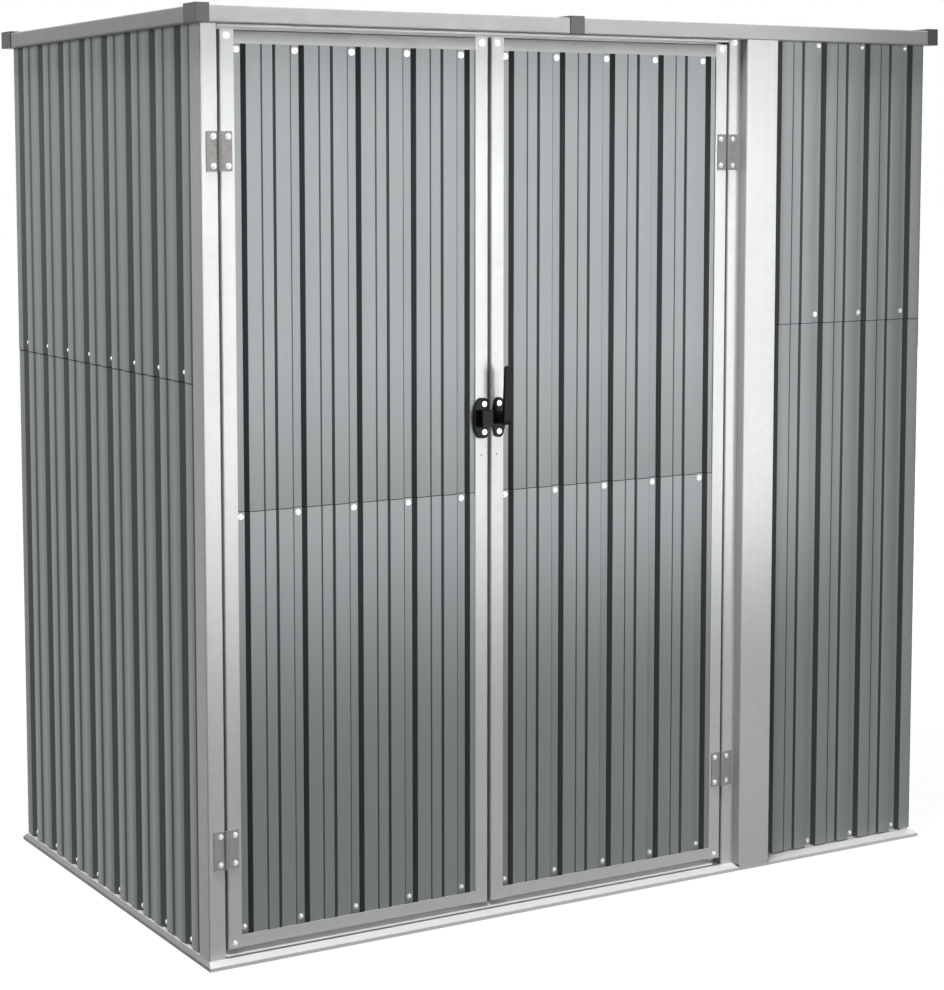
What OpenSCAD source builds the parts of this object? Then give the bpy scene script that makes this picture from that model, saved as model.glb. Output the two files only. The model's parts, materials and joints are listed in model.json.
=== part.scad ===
// Metal storage shed with two hinged doors, corrugated sheet walls and a low fascia roof.
// Positions are u (left to right), v (front to back) and z (up), measured from the
// front left corner of the base frame, and place() moves them to the shed's own frame.

/* [Base frame] */
// Width of the base frame
base_w = 1746; // [1600:1:2000]
// Depth of the base frame
base_d = 1012; // [920:1:1200]
// Height of the base rail's outer lip
lip_h = 7; // [5:0.5:12]
// Height of the ledge that the walls stand on
base_h = 13.5; // [13:0.5:20]
// Width of the foot flange that lies on the ground
foot_w = 45; // [42:1:60]
// Height of the upstand that the sheets are screwed to
upstand_h = 32; // [25:1:45]

/* [Walls] */
// Height of the walls, from the ground to the roof fascia at the front
wall_h = 1771; // [1650:1:1900]
// Setback of the front wall face from the base's front edge
front_setback = 19; // [14:0.5:26]
// Setback of the side and back wall faces from the base's edge
side_setback = 7; // [5:0.5:12]
// Thickness of the folded frame metal
frame_t = 1.5; // [1:0.1:2]
// Radius of the frame metal's bends, to the middle of the metal
bend_r = 2.5; // [1.5:0.25:3]
// Width of the left corner post's front flange
post_front_w = 35; // [30:0.5:45]
// Width of the left corner post's side flange
post_side_w = 45; // [30:1:60]
// Width of each flange of the inner corner posts
post_inner_w = 22; // [16:1:23]
// Height of the lap joint on the side and back walls
side_seam_z = 1107; // [900:1:1300]
// Height of the lap joint on the fixed front panel
panel_seam_z = 1173; // [900:1:1300]
// Height of the horizontal wall rails
rail_h = 40; // [30:1:60]
// Depth of the horizontal wall rails
rail_d = 18; // [12:0.5:20]

/* [Corrugated sheet] */
// Distance from one valley to the next
sheet_pitch = 120; // [112:0.5:130]
// First valley of a side wall's sheet, from the front
wall_valley = 100; // [96:0.5:112]
// Depth of the valleys
valley_d = 9.5; // [7:0.5:12]
// Width of a valley's floor
valley_w = 16; // [12:0.5:20]
// Run of a valley's sloping side
valley_run = 7; // [5:0.5:9]
// Depth of the stiffening groove in the middle of each crest
groove_d = 3; // [1.5:0.5:4]
// Width of the groove's floor
groove_w = 21; // [16:0.5:24]
// Run of the groove's sloping side
groove_run = 5; // [3:0.5:6]
// Thickness of the sheet
sheet_t = 0.8; // [0.6:0.1:1]
// Overlap of the upper and lower sheets
lap_h = 25; // [15:1:40]

/* [Doors] */
// Distance from the doors' top edge to the roof fascia
door_drop = 11; // [10:0.5:20]
// Width of each door
door_w = 575; // [540:1:600]
// Thickness of the doors
door_t = 22; // [20:0.5:26]
// Gap between a door and its jamb
jamb_gap = 4; // [3.5:0.5:6]
// Gap between the two doors
meeting_gap = 6.5; // [6:0.5:9]
// Width of the door stiles
stile_w = 29; // [26:0.5:36]
// Height of the door rails
door_rail_h = 25; // [20:0.5:35]
// Gap under the nose of the door sill
sill_lift = 3.5; // [2:0.5:6]
// Radius of the sill's nose
sill_r = 4; // [3:0.5:6]
// Fall of the sill from its back to its front
sill_fall = 5; // [3:0.5:7]
// Distance from the sill's right end to the jamb
sill_end = 22; // [15:1:30]
// Clearance from the doors to their stops, header and sill
swing_gap = 5; // [5:0.5:7]
// First valley of the door sheet, from the door's left edge
door_valley = 39.5; // [36:0.5:45]
// Height of the doors' lap joint
door_seam_z = 864.5; // [700:0.5:1000]
// Width of the jamb strip beside the right door
jamb_w = 31; // [27:0.5:40]
// Width of the proud post cover
cover_w = 82; // [60:1:100]
// Height that the post cover stands proud of the front wall
cover_d = 21; // [16:0.5:23]

/* [Hinges] */
// Height of a hinge leaf
leaf_h = 74; // [60:1:90]
// Width of a hinge leaf from the pin
leaf_w = 26; // [20:0.5:30]
// Thickness of a hinge leaf
leaf_t = 2; // [1.5:0.1:2.5]
// Radius of the hinge knuckles
knuckle_r = 4; // [3.5:0.1:5]
// Radius of the hinge pin
pin_r = 2; // [1.5:0.1:2.5]
// Height of the lower hinges' middle
hinge_low_z = 225; // [150:1:300]
// Height of the upper hinges' middle
hinge_high_z = 1538; // [1400:1:1600]

/* [Latch] */
// Height of the latch's middle
latch_z = 1014; // [900:1:1150]
// Height of the latch plates
plate_h = 80; // [70:1:90]
// Width of the left latch plate
plate_w = 35; // [31:0.5:38]
// Width of the right latch plate
plate2_w = 31; // [28:0.5:34]
// Radius of the plates' rounded ends
plate_round = 10; // [8:0.5:12]
// Thickness of the latch plates
plate_t = 5; // [4:0.5:7]
// Width of the keeper box on the left plate
keeper_w = 24; // [20:0.5:26]
// Height of the keeper box
keeper_h = 33; // [26:0.5:36]
// Depth of the keeper box in front of its plate
keeper_d = 17; // [12:0.5:20]
// Radius of the lever's hub
hub_r = 13; // [11:0.5:14]
// Depth of the hub in front of the right plate
hub_d = 20; // [16:0.5:24]
// Length of the lever above its pivot
lever_l = 105; // [85:1:120]
// Width of the lever
lever_w = 18; // [14:0.5:22]
// Thickness of the lever
lever_t = 7; // [5:0.5:9]
// Distance that the lever leans out at its top
lever_lean = 6; // [0:0.5:10]
// Length of the lever below its pivot
lever_tail = 6; // [4:0.5:10]
// Radius of the lever's upper corners
lever_round = 5; // [3:0.5:7]
// Radius of the lever's spindle
spindle_r = 6; // [5:0.1:7]

/* [Roof] */
// Height of the roof fascia
fascia_h = 31.5; // [28:0.5:40]
// Overhang of the fascia past the base at the sides
roof_side = 9; // [6:0.5:14]
// Overhang of the fascia past the base at the front
roof_front = 3; // [3:0.5:8]
// Overhang of the fascia past the base at the back
roof_back = 12; // [6:0.5:18]
// Fall of the roof from front to back, in degrees
roof_fall = 0.45; // [0.3:0.05:1]
// Depth of the fascia's lower flange
fascia_flange = 42; // [40:1:55]
// Depth of the fascia's upper flange
fascia_top = 18; // [12:1:25]
// Depth of the roof sheet's crests below the fascia's top
roof_sink = 4.5; // [3:0.5:6]
// Depth of a roof purlin from front to back
purlin_w = 30; // [20:1:40]
// Thickness of the plastic caps
cap_t = 2; // [1.5:0.1:3]
// Height that the caps rise above the fascia
cap_rise = 4; // [2:0.5:6]
// Length of a corner cap along the front
cap_front = 28; // [22:1:36]
// Length of a corner cap along the side
cap_side = 55; // [40:1:70]
// Place of the roof joint's middle, from the base's left end
joint_u = 814; // [700:1:1050]
// Width of the roof joint's cover
joint_w = 34; // [28:1:50]

/* [Hidden] */
$fn = 48;

// Finishes
sheet_grey = [0.42, 0.44, 0.45];
frame_pale = [0.82, 0.83, 0.83];
cap_dark = [0.14, 0.14, 0.15];
hinge_grey = [0.5, 0.49, 0.47];
latch_black = [0.05, 0.05, 0.055];

// Clearances
pin_clear = 0.05;
knuckle_clear = 0.3;
seat_clear = 0.5;
sheet_clear = 3;
edge_clear = 1;
cover_clear = 1;
panel_tuck = 2;
overcut = 1;
centred_margin = 40;
spindle_share = 0.7;
bend_facets = 16;

// Planes of the wall faces and of the sheets behind them
front_v = front_setback;
back_v = base_d - side_setback;
left_u = side_setback;
right_u = base_w - side_setback;
sheet_in = frame_t;
bend_out = bend_r + frame_t / 2;
bend_tuck = bend_out - frame_t;
sheet_stack = 2 * sheet_t;
rail_in = sheet_in + valley_d + sheet_stack;
sheet_z0 = base_h + sheet_clear;
upstand_top = base_h + upstand_h;

// The doorway
door_z1 = wall_h - door_drop;
door_u0 = left_u + post_front_w + jamb_gap;
door2_u0 = door_u0 + door_w + meeting_gap;
doorway_u1 = door2_u0 + door_w + jamb_gap;
stop_v = front_v + door_t + swing_gap;
stop_w = jamb_gap + stile_w / 2;
sill_slope = atan2(sill_fall, door_t);
sill_h = sill_lift + (sill_r * (1 - sin(sill_slope)) + door_t * sin(sill_slope)) / cos(sill_slope);
sill_top = base_h + sill_h;
door_z0 = sill_top + swing_gap;
header_z0 = door_z1 + swing_gap;
cover_u0 = doorway_u1 + jamb_w;
cover_u1 = cover_u0 + cover_w;
cover_drop = lip_h + cover_clear;

// Hinge axes stand in front of the face by the knuckle's radius
hinge_v = front_v - knuckle_r;
left_hinge_u = door_u0 - jamb_gap / 2;
right_hinge_u = doorway_u1 - jamb_gap / 2;

// The latch
plate_v = front_v;
keeper_u1 = door_u0 + door_w - edge_clear;
plate2_u0 = door2_u0 + edge_clear;
lever_u = plate2_u0 + plate2_w / 2;
lever_v = plate_v - plate_t - hub_d - knuckle_clear;
lever_neck = hub_r / 2;
spindle_l = hub_d * spindle_share;

// The roof, laid on the walls and tilted to the back
roof_u0 = -roof_side;
roof_v0 = -roof_front;
roof_w = base_w + 2 * roof_side;
roof_d = base_d + roof_front + roof_back;
roof_crest = fascia_h - roof_sink;
roof_seat = roof_crest - valley_d - sheet_t;
big = 4 * base_w;

// The part's frame: the middle of its outline, on the ground
lever_front_v = lever_v - lever_neck - lever_t - lever_lean;
roof_back_v = roof_v0 + (roof_d + cap_t) * cos(roof_fall) + (fascia_h + cap_rise) * sin(roof_fall);
centre_v = (lever_front_v + roof_back_v) / 2;

module place() {
    translate([-base_w / 2, -centre_v, 0]) children();
}

// Sheet outline: crest line with valleys and the stiffening grooves between them
function valley_points(c) = [
    [c - valley_w / 2 - valley_run, 0], [c - valley_w / 2, valley_d],
    [c + valley_w / 2, valley_d], [c + valley_w / 2 + valley_run, 0]];

function groove_points(c) = [
    [c - groove_w / 2 - groove_run, 0], [c - groove_w / 2, groove_d],
    [c + groove_w / 2, groove_d], [c + groove_w / 2 + groove_run, 0]];

valley_half = valley_w / 2 + valley_run;
groove_half = groove_w / 2 + groove_run;

function valley_count(first, length) =
    1 + floor((length - first - valley_half - edge_clear) / sheet_pitch);

// The grooves lie half a pitch from the valleys, also at the ends where a post leaves room
end_flat = post_inner_w + edge_clear;

function groove_fits(c, length) = c - groove_half > end_flat && c + groove_half < length - end_flat;

function groove_at(c, length) = groove_fits(c, length) ? groove_points(c) : [];

function face_points(first, length, trim0, trim1) = [
    [trim0, 0],
    each groove_at(first - sheet_pitch / 2, length),
    for (i = [0 : valley_count(first, length) - 1]) each concat(
        valley_points(first + i * sheet_pitch),
        groove_at(first + (i + 0.5) * sheet_pitch, length)),
    [length - trim1, 0]];

// First valley of a pattern that sits in the middle of a sheet
function centred_valley(length) =
    (length - floor((length - 2 * centred_margin) / sheet_pitch) * sheet_pitch) / 2;

function sheet_outline(face) = concat(
    face, [for (i = [len(face) - 1 : -1 : 0]) face[i] + [0, sheet_t]]);

// A sheet's section along u, or along v where turned, with its crests at 0 and its ends trimmed
module sheet_section(first, length, turned = false, side = 1, trim0 = 0, trim1 = 0) {
    outline = sheet_outline(face_points(first, length, trim0, trim1));
    polygon([for (p = outline) turned ? [side * p.y, p.x] : [p.x, side * p.y]]);
}

// A round corner of an outline
arc_steps = 6;

function arc(centre, r, from, to) =
    [for (i = [0 : arc_steps]) centre + r * [cos(from + (to - from) * i / arc_steps), sin(from + (to - from) * i / arc_steps)]];

// Folded metal: a path of square turns on the middle of the metal, bent round at each turn
function way(a, b) = (b - a) / norm(b - a);

module span(a, b) {
    square_low = [min(a.x, b.x), min(a.y, b.y)];
    translate(square_low) square([abs(a.x - b.x), abs(a.y - b.y)]);
}

module folded(path, r = bend_r) {
    half = frame_t / 2;
    last = len(path) - 1;
    for (i = [0 : last - 1]) {
        along = way(path[i], path[i + 1]);
        across = [along.y, along.x] * half;
        span(path[i] + along * (i == 0 ? -half : r) - across,
            path[i + 1] - along * (i == last - 1 ? -half : r) + across);
    }
    for (i = [1 : 1 : last - 1]) {
        along = way(path[i - 1], path[i]);
        next = way(path[i], path[i + 1]);
        centre = path[i] + (next - along) * r;
        intersection() {
            translate(centre) difference() {
                circle(r = r + half, $fn = bend_facets);
                circle(r = r - half, $fn = bend_facets);
            }
            span(centre, centre + (along - next) * (r + half));
        }
    }
}

module upright(z0, z1) {
    translate([0, 0, z0]) linear_extrude(z1 - z0) children();
}

// A section drawn in v and z, run along u
module along_u(u0, u1) {
    translate([u0, 0, 0]) rotate([90, 0, 90]) linear_extrude(u1 - u0) children();
}

// A section drawn in u and z, run along v
module along_v(v0, v1) {
    translate([0, v1, 0]) rotate([90, 0, 0]) linear_extrude(v1 - v0) children();
}

// The roof's own frame: z 0 is the underside of the fascia
module on_roof() {
    translate([0, roof_v0, wall_h]) rotate([-roof_fall, 0, 0]) children();
}

module below_roof() {
    difference() {
        children();
        on_roof() translate([-big / 2, -big / 2, 0]) cube(big);
    }
}

// Base frame
module rail_section(slope_w) {
    polygon([
        [0, 0], [0, lip_h], [slope_w, base_h], [foot_w, base_h], [foot_w, base_h - frame_t],
        [slope_w, base_h - frame_t], [frame_t, lip_h - frame_t], [frame_t, frame_t],
        [foot_w, frame_t], [foot_w, 0]]);
}

module upstand_section(depth) {
    translate([depth, base_h]) square([frame_t, upstand_h]);
}

module mitre(slope_w, side_w, length) {
    upright(0, upstand_top)
        polygon([
            [0, 0], [length, 0], [length - side_w, slope_w], [length - foot_w, foot_w],
            [foot_w, foot_w], [side_w, slope_w]]);
}

module base_front_rail() {
    color(frame_pale) {
        intersection() {
            along_u(0, base_w) rail_section(front_setback);
            mitre(front_setback, side_setback, base_w);
        }
        along_u(cover_u1, right_u - rail_in)
            upstand_section(front_v + rail_in);
    }
}

module base_back_rail() {
    color(frame_pale) translate([base_w, base_d, 0]) rotate(180) {
        intersection() {
            along_u(0, base_w) rail_section(side_setback);
            mitre(side_setback, side_setback, base_w);
        }
        along_u(foot_w, base_w - foot_w) upstand_section(side_setback + rail_in);
    }
}

module base_side_rail() {
    intersection() {
        rotate(-90) mirror([1, 0, 0]) along_u(0, base_d) rail_section(side_setback);
        upright(0, upstand_top)
            polygon([
                [0, 0], [side_setback, front_setback], [foot_w, foot_w], [foot_w, base_d - foot_w],
                [side_setback, base_d - side_setback], [0, base_d]]);
    }
    rotate(-90) mirror([1, 0, 0])
        along_u(foot_w, base_d - foot_w) upstand_section(side_setback + rail_in);
}

module base_left_rail() {
    color(frame_pale) base_side_rail();
}

module base_right_rail() {
    color(frame_pale) translate([base_w, 0, 0]) mirror([1, 0, 0]) base_side_rail();
}

// The sill slopes out from under the doors to a rounded nose that stands clear of the ledge
module sill_section() {
    nose = [sill_r, sill_lift];
    back = door_t - frame_t;
    inner_h = sill_h - frame_t / cos(sill_slope) - frame_t * tan(sill_slope);
    polygon(concat(
        [[door_t, 0], [door_t, sill_h]],
        arc(nose, sill_r, 90 + sill_slope, 180),
        arc(nose, sill_r - frame_t, 180, 90 + sill_slope),
        [[back, inner_h], [back, 0]]));
}

module door_sill() {
    color(frame_pale)
        along_u(left_u + post_front_w, doorway_u1 - sill_end)
            translate([front_v, base_h]) sill_section();
}

// Posts
module front_left_post() {
    half = frame_t / 2;
    inner_u = left_u + post_front_w - half;
    color(frame_pale) below_roof() upright(base_h, wall_h)
        folded([
            [left_u + half, front_v + post_side_w - half], [left_u + half, front_v + half],
            [inner_u, front_v + half], [inner_u, stop_v + half],
            [inner_u + stop_w, stop_v + half]]);
}

module inner_post() {
    half = frame_t / 2;
    folded([[half, post_inner_w - half], [half, half], [post_inner_w - half, half]]);
}

module front_right_post() {
    color(frame_pale) below_roof() upright(base_h, wall_h)
        translate([right_u - sheet_in - sheet_stack, front_v + sheet_in + sheet_stack])
            mirror([1, 0]) inner_post();
}

module back_left_post() {
    color(frame_pale) below_roof() upright(base_h, wall_h)
        translate([left_u + sheet_in + sheet_stack, back_v - sheet_in - sheet_stack])
            mirror([0, 1]) inner_post();
}

module back_right_post() {
    color(frame_pale) below_roof() upright(base_h, wall_h)
        translate([right_u - sheet_in - sheet_stack, back_v - sheet_in - sheet_stack])
            rotate(180) inner_post();
}

module hinge_post() {
    half = frame_t / 2;
    jamb_u = doorway_u1 + half;
    face_v = front_v - cover_d + half;
    color(frame_pale) below_roof() {
        upright(base_h, wall_h)
            folded([
                [jamb_u - stop_w, stop_v + half], [jamb_u, stop_v + half], [jamb_u, front_v + half],
                [cover_u0 + half, front_v + half], [cover_u0 + half, face_v],
                [cover_u1 - half, face_v], [cover_u1 - half, front_v + sheet_in - half]]);
        if (face_v + half < 0)
            upright(cover_drop, base_h + overcut)
                translate([cover_u0 + bend_out, face_v - half])
                    square([cover_w - 2 * bend_out, frame_t]);
    }
}

// The header's back flange ends short of the bends in the posts' stops
module door_header() {
    half = frame_t / 2;
    top = wall_h - half - seat_clear;
    header_r = min(bend_r, (wall_h - header_z0) / 3);
    front = [[front_v + half, header_z0 + half], [front_v + half, top]];
    color(frame_pale) below_roof() {
        along_u(left_u + post_front_w, doorway_u1)
            folded(concat(front, [[stop_v - bend_out - half, top]]), header_r);
        along_u(left_u + post_front_w + bend_tuck, doorway_u1 - bend_tuck)
            folded(concat(front, [
                [stop_v - half, top], [stop_v - half, header_z0 - door_rail_h / 2]]), header_r);
    }
}

// Wall rails behind the valleys
module rail_channel(h) {
    half = frame_t / 2;
    folded([[half, half], [rail_d - half, half], [rail_d - half, h - half], [half, h - half]]);
}

module side_rail(z0, h, v0) {
    translate([0, 0, z0])
        along_v(v0, back_v - sheet_in - sheet_stack - frame_t)
            translate([left_u + rail_in, 0]) rail_channel(h);
}

module left_rail(z0, h) {
    side_rail(z0, h, front_v + frame_t);
}

module right_rail(z0, h) {
    translate([base_w, 0, 0]) mirror([1, 0, 0])
        side_rail(z0, h, front_v + sheet_in + sheet_stack + frame_t);
}

module back_rail(z0, h) {
    rail_u0 = left_u + rail_in + rail_d + seat_clear;
    translate([0, base_d, z0]) mirror([0, 1, 0])
        along_u(rail_u0, base_w - rail_u0)
            translate([side_setback + rail_in, 0]) rail_channel(h);
}

module panel_rail(z0, h) {
    translate([0, 0, z0])
        along_u(cover_u1, right_u - rail_in - rail_d - seat_clear)
            translate([front_v + rail_in, 0]) rail_channel(h);
}

module wall_mid_rails() {
    color(frame_pale) {
        left_rail(side_seam_z, rail_h);
        right_rail(side_seam_z, rail_h);
        back_rail(side_seam_z, rail_h);
        panel_rail(panel_seam_z, rail_h);
    }
}

module wall_top_rails() {
    color(frame_pale) below_roof() {
        left_rail(wall_h - rail_h, rail_h + overcut);
        right_rail(wall_h - rail_h, rail_h + overcut);
        back_rail(wall_h - rail_h, rail_h + overcut);
        panel_rail(wall_h - rail_h, rail_h + overcut);
    }
}

// Wall sheets: the upper one laps outside the lower one
side_sheet_l = back_v - sheet_in - front_v - sheet_in;
back_sheet_u0 = left_u + sheet_in + sheet_stack;
back_sheet_l = base_w - 2 * back_sheet_u0;
panel_u0 = cover_u1 - cover_w / 2;
panel_l = right_u - sheet_in - sheet_stack - panel_u0;
panel_valley = cover_w / 2 + valley_half - panel_tuck;

module side_sheet(layer, trim = 0) {
    translate([left_u + sheet_in + layer * sheet_t, front_v + sheet_in, 0])
        sheet_section(wall_valley, side_sheet_l, turned = true, trim0 = trim);
}

module back_sheet(layer) {
    translate([back_sheet_u0, back_v - sheet_in - layer * sheet_t, 0])
        sheet_section(centred_valley(back_sheet_l), back_sheet_l, side = -1);
}

module panel_sheet(layer) {
    translate([panel_u0, front_v + sheet_in + layer * sheet_t, 0])
        sheet_section(panel_valley, panel_l);
}

module left_wall_lower_sheet() {
    color(sheet_grey) upright(sheet_z0, side_seam_z + lap_h) side_sheet(1, bend_tuck);
}

module left_wall_upper_sheet() {
    color(sheet_grey) below_roof() upright(side_seam_z, wall_h) side_sheet(0, bend_tuck);
}

module right_wall_lower_sheet() {
    color(sheet_grey) translate([base_w, 0, 0]) mirror([1, 0, 0])
        upright(sheet_z0, side_seam_z + lap_h) side_sheet(1);
}

module right_wall_upper_sheet() {
    color(sheet_grey) below_roof() translate([base_w, 0, 0]) mirror([1, 0, 0])
        upright(side_seam_z, wall_h) side_sheet(0);
}

module back_wall_lower_sheet() {
    color(sheet_grey) upright(sheet_z0, side_seam_z + lap_h) back_sheet(1);
}

module back_wall_upper_sheet() {
    color(sheet_grey) below_roof() upright(side_seam_z, wall_h) back_sheet(0);
}

module front_panel_lower_sheet() {
    color(sheet_grey) upright(sheet_z0, panel_seam_z + lap_h) panel_sheet(1);
}

module front_panel_upper_sheet() {
    color(sheet_grey) below_roof() upright(panel_seam_z, wall_h) panel_sheet(0);
}

// Roof: a ring of fascia channels, purlins on its lower flange and sheets on those
module fascia_section() {
    half = frame_t / 2;
    folded([
        [fascia_flange - half, half], [half, half], [half, fascia_h - half], [fascia_top, fascia_h - half]]);
}

module front_fascia(u0, u1) {
    on_roof() along_u(u0, u1) fascia_section();
}

module roof_front_fascia_left() {
    color(frame_pale) front_fascia(roof_u0, joint_u);
}

module roof_front_fascia_right() {
    color(frame_pale) front_fascia(joint_u, roof_u0 + roof_w);
}

module roof_back_fascia() {
    color(frame_pale) on_roof() translate([0, roof_d, 0]) mirror([0, 1, 0])
        along_u(roof_u0, roof_u0 + roof_w) fascia_section();
}

module side_fascia() {
    on_roof() along_v(fascia_flange, roof_d - fascia_flange)
        translate([roof_u0, 0]) fascia_section();
}

module roof_left_fascia() {
    color(frame_pale) side_fascia();
}

module roof_right_fascia() {
    color(frame_pale) translate([base_w, 0, 0]) mirror([1, 0, 0]) side_fascia();
}

module purlin_section() {
    half = frame_t / 2;
    top = roof_seat - frame_t - half;
    folded([[purlin_w - half, half], [half, half], [half, top], [purlin_w - half, top]]);
}

module roof_purlins() {
    step = (roof_d - 2 * bend_out - purlin_w) / 2;
    color(frame_pale) on_roof()
        for (i = [0 : 2])
            translate([0, bend_out + i * step, frame_t])
                along_u(roof_u0 + bend_out, roof_u0 + roof_w - bend_out) purlin_section();
}

module roof_sheet(u0, u1) {
    on_roof() along_v(frame_t, roof_d - frame_t)
        translate([u0, roof_crest]) sheet_section(centred_valley(u1 - u0), u1 - u0, side = -1);
}

module roof_left_sheet() {
    color(sheet_grey) roof_sheet(roof_u0 + frame_t, joint_u - edge_clear);
}

module roof_right_sheet() {
    color(sheet_grey) roof_sheet(joint_u + edge_clear, roof_u0 + roof_w - frame_t);
}

module roof_joint_cover() {
    u0 = joint_u - joint_w / 2;
    color(cap_dark) on_roof() {
        for (v0 = [-cap_t, roof_d])
            translate([u0, v0, 0]) cube([joint_w, cap_t, fascia_h + cap_rise]);
        translate([u0, -cap_t, fascia_h]) cube([joint_w, roof_d + 2 * cap_t, cap_rise]);
        for (side = [0, joint_w - cap_t])
            translate([u0 + side, fascia_top + frame_t, roof_crest])
                cube([cap_t, roof_d - 2 * (fascia_top + frame_t), roof_sink + cap_rise / 2]);
    }
}

module corner_cap() {
    difference() {
        translate([-cap_t, -cap_t, 0])
            cube([cap_front, cap_side, fascia_h + cap_rise]);
        translate([0, 0, -overcut]) cube([cap_front, cap_side, fascia_h + overcut]);
    }
}

module roof_corner_caps() {
    color(cap_dark) on_roof()
        for (i = [0, 1], j = [0, 1])
            translate([roof_u0 + i * roof_w, j * roof_d, 0])
                mirror([i, 0, 0]) mirror([0, j, 0]) corner_cap();
}

// Hinges: the frame leaf holds the pin, and the door leaf turns on its middle knuckle
knuckle_h = leaf_h / 3;
knuckle_root = knuckle_r + edge_clear;

module hinge_leaf(side) {
    translate([side > 0 ? knuckle_r + knuckle_clear : -leaf_w, knuckle_r - leaf_t, 0])
        cube([leaf_w - knuckle_r - knuckle_clear, leaf_t, leaf_h]);
}

module knuckle(side, z0, h) {
    translate([0, 0, z0]) {
        cylinder(r = knuckle_r, h = h);
        translate([side > 0 ? 0 : -knuckle_root, knuckle_r - leaf_t, 0])
            cube([knuckle_root, leaf_t, h]);
    }
}

module frame_leaf(side) {
    hinge_leaf(side);
    for (z0 = [0, 2 * knuckle_h])
        knuckle(side, z0, knuckle_h);
    cylinder(r = pin_r, h = leaf_h);
}

module door_leaf(side) {
    difference() {
        union() {
            hinge_leaf(side);
            knuckle(side, knuckle_h + knuckle_clear, knuckle_h - 2 * knuckle_clear);
        }
        translate([0, 0, -overcut]) cylinder(r = pin_r + pin_clear, h = leaf_h + 2 * overcut);
    }
}

module at_hinges(u) {
    for (z = [hinge_low_z, hinge_high_z])
        translate([u, hinge_v, z - leaf_h / 2]) children();
}

module frame_hinge_leaves() {
    color(hinge_grey) {
        at_hinges(left_hinge_u) frame_leaf(-1);
        at_hinges(right_hinge_u) frame_leaf(1);
    }
}

// Doors: folded stiles and rails round two lapped sheets, with bars behind the screw rows
module stile() {
    half = frame_t / 2;
    folded([
        [stile_w - half, front_v + half], [half, front_v + half],
        [half, front_v + door_t - half], [stile_w / 2, front_v + door_t - half]]);
}

module door_stiles(u0) {
    color(frame_pale) upright(door_z0, door_z1) {
        translate([u0, 0]) stile();
        translate([u0 + door_w, 0]) mirror([1, 0]) stile();
    }
}

module door_rail() {
    half = frame_t / 2;
    folded([
        [front_v + half, door_rail_h - half], [front_v + half, half],
        [front_v + door_t - half, half], [front_v + door_t - half, door_rail_h / 2]]);
}

module door_rails(u0) {
    color(frame_pale) {
        translate([0, 0, door_z0])
            along_u(u0 + stile_w, u0 + door_w - stile_w) door_rail();
        translate([0, 0, door_z1]) mirror([0, 0, 1])
            along_u(u0 + stile_w, u0 + door_w - stile_w) door_rail();
    }
}

door_sheet_z0 = door_z0 + bend_out;
door_sheet_z1 = door_z1 - bend_out;
bar_inset = door_rail_h + 0.3 * rail_h;

module door_cross_bars(u0) {
    color(frame_pale)
        for (z = [door_z0 + bar_inset, door_seam_z, door_z1 - bar_inset])
            translate([u0 + frame_t, front_v + rail_in, z - rail_h / 2])
                cube([door_w - 2 * frame_t, frame_t, rail_h]);
}

module door_sheet(u0, z0, z1, layer) {
    color(sheet_grey) upright(z0, z1)
        translate([u0 + frame_t, front_v + sheet_in + layer * sheet_t])
            sheet_section(door_valley - frame_t, door_w - 2 * frame_t,
                trim0 = bend_tuck, trim1 = bend_tuck);
}

module left_door_stiles() { door_stiles(door_u0); }
module left_door_rails() { door_rails(door_u0); }
module left_door_cross_bars() { door_cross_bars(door_u0); }
module left_door_lower_sheet() { door_sheet(door_u0, door_sheet_z0, door_seam_z, 0); }
module left_door_upper_sheet() { door_sheet(door_u0, door_seam_z - lap_h, door_sheet_z1, 1); }
module left_door_hinge_leaves() { color(hinge_grey) at_hinges(left_hinge_u) door_leaf(1); }

module right_door_stiles() { door_stiles(door2_u0); }
module right_door_rails() { door_rails(door2_u0); }
module right_door_cross_bars() { door_cross_bars(door2_u0); }
module right_door_lower_sheet() { door_sheet(door2_u0, door_sheet_z0, door_seam_z, 0); }
module right_door_upper_sheet() { door_sheet(door2_u0, door_seam_z - lap_h, door_sheet_z1, 1); }
module right_door_hinge_leaves() { color(hinge_grey) at_hinges(right_hinge_u) door_leaf(-1); }

// Latch: a bowed plate on each meeting stile, a keeper box and a turning lever
// A bowed side that runs into the rounded ends at out, and bulges to reach
plate_end = plate_h / 2 - plate_round;

function bow_r(out, reach) =
    (plate_round ^ 2 - (out - reach) ^ 2 - plate_end ^ 2) / (2 * (out - reach + plate_round));

function bow_turn(out, reach) = atan2(plate_end, out - reach + bow_r(out, reach));

function bowed_side(out, reach) = concat(
    arc([out, -plate_end], plate_round, -90, -bow_turn(out, reach)),
    arc([reach - bow_r(out, reach), 0], bow_r(out, reach), -bow_turn(out, reach), bow_turn(out, reach)),
    arc([out, plate_end], plate_round, bow_turn(out, reach), 90));

function turned_back(points) = [for (i = [len(points) - 1 : -1 : 0]) [-points[i].x, points[i].y]];

// The left plate is straight along the meeting edge, and the right one bows both ways
module keeper_plate() {
    polygon(concat(
        bowed_side(plate_w / 2, plate_w),
        arc([plate_round, plate_end], plate_round, 90, 180),
        arc([plate_round, -plate_end], plate_round, 180, 270)));
}

module lever_plate() {
    side = bowed_side(0, plate2_w / 2);
    translate([plate2_w / 2, 0]) polygon(concat(side, turned_back(side)));
}

// A shape drawn in u and z that stands forward from v
module forward(v, depth) {
    translate([0, v, 0]) rotate([90, 0, 0]) linear_extrude(depth) children();
}

module latch_keeper() {
    color(latch_black) translate([keeper_u1, 0, latch_z]) {
        forward(plate_v, plate_t) mirror([1, 0]) keeper_plate();
        forward(plate_v - plate_t, keeper_d)
            translate([-keeper_w, -keeper_h / 2]) square([keeper_w, keeper_h]);
    }
}

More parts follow.
